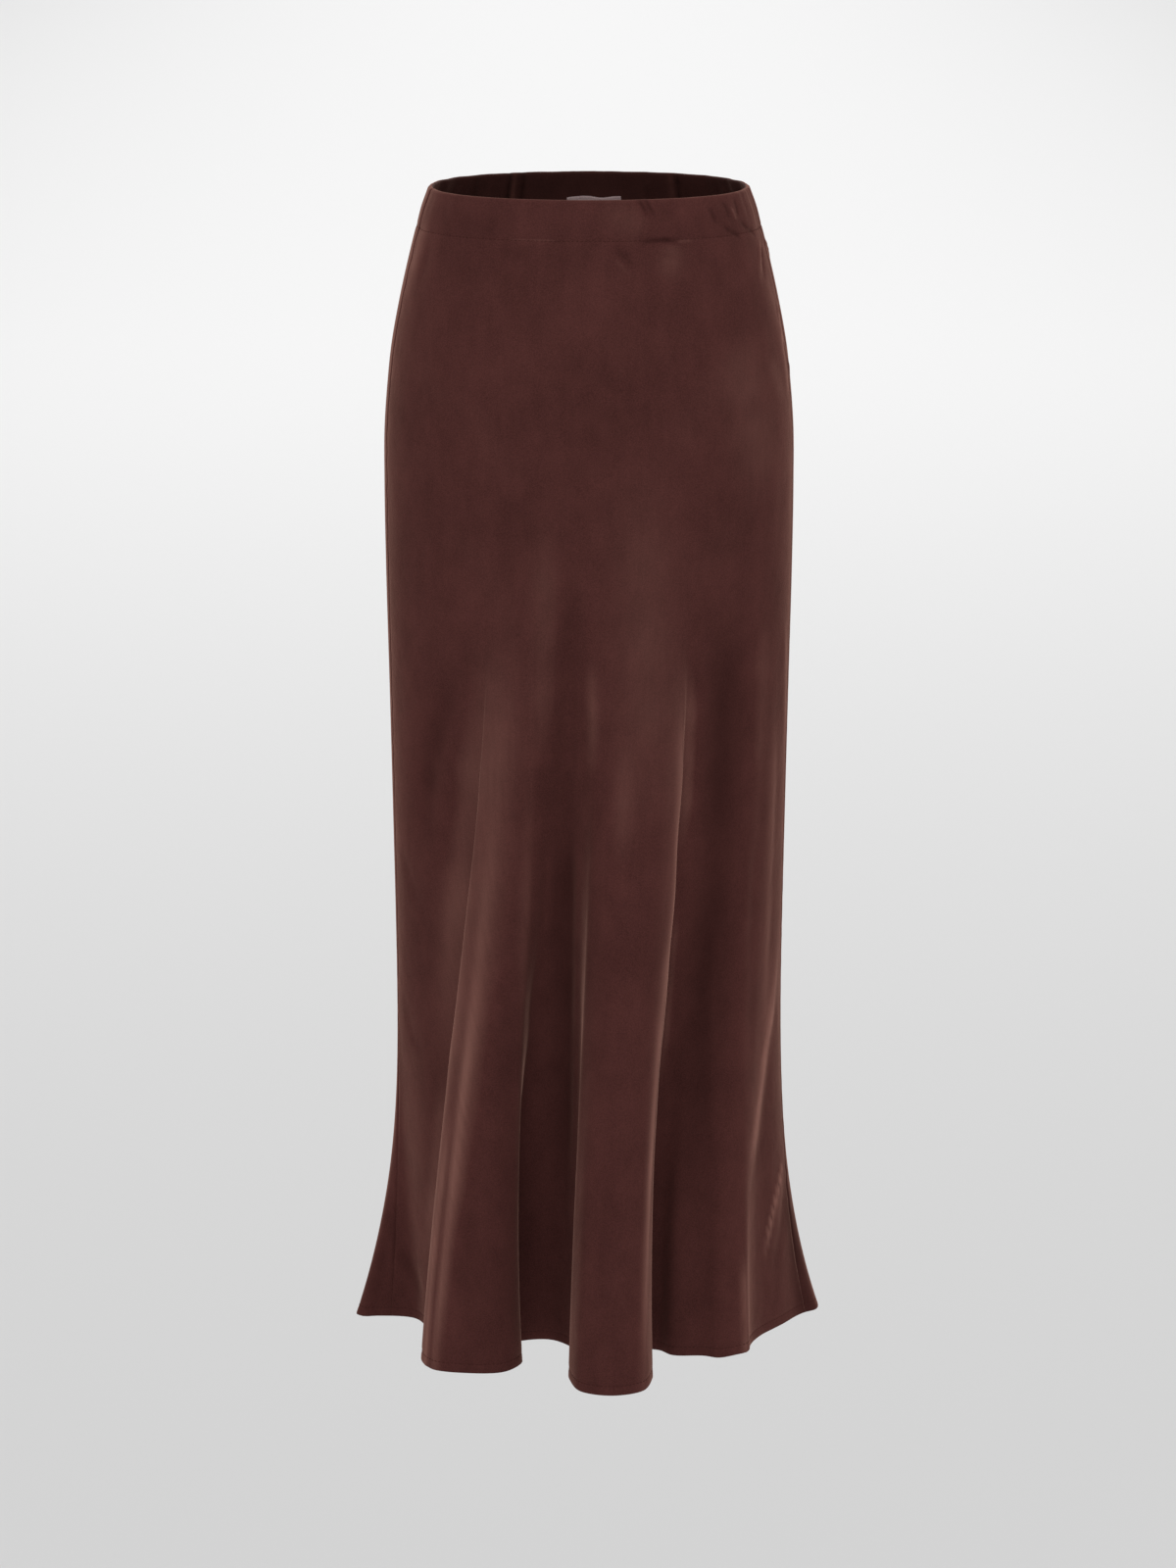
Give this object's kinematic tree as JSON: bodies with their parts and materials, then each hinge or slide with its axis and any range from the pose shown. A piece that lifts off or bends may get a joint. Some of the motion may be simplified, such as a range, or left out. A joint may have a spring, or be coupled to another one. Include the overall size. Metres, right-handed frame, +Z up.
{
  "type": "slip skirt",
  "caption": "Long bias-cut satin slip skirt, filled out as worn, with an elastic waist casing, side seams and a hem that falls in deep flutes.",
  "frame": {"origin": "middle of the waist opening, level with the top edge", "axes": "+Z up out of the waist, -Y to the front of the skirt, -X to the wearer's right side"},
  "size_m": [0.3846, 0.3402, 0.938],
  "materials": {
    "satin": "sand-washed satin in dark brown with a soft reddish sheen",
    "casing": "duller inner side of the same brown satin",
    "label": "plain pinkish grey woven tape, blank"
  },
  "bodies": {
    "root": {"front_panel": "satin", "back_panel": "satin", "waist_casing_front": "casing", "waist_casing_back": "casing", "waist_label": "label"}
  },
  "joints": []
}
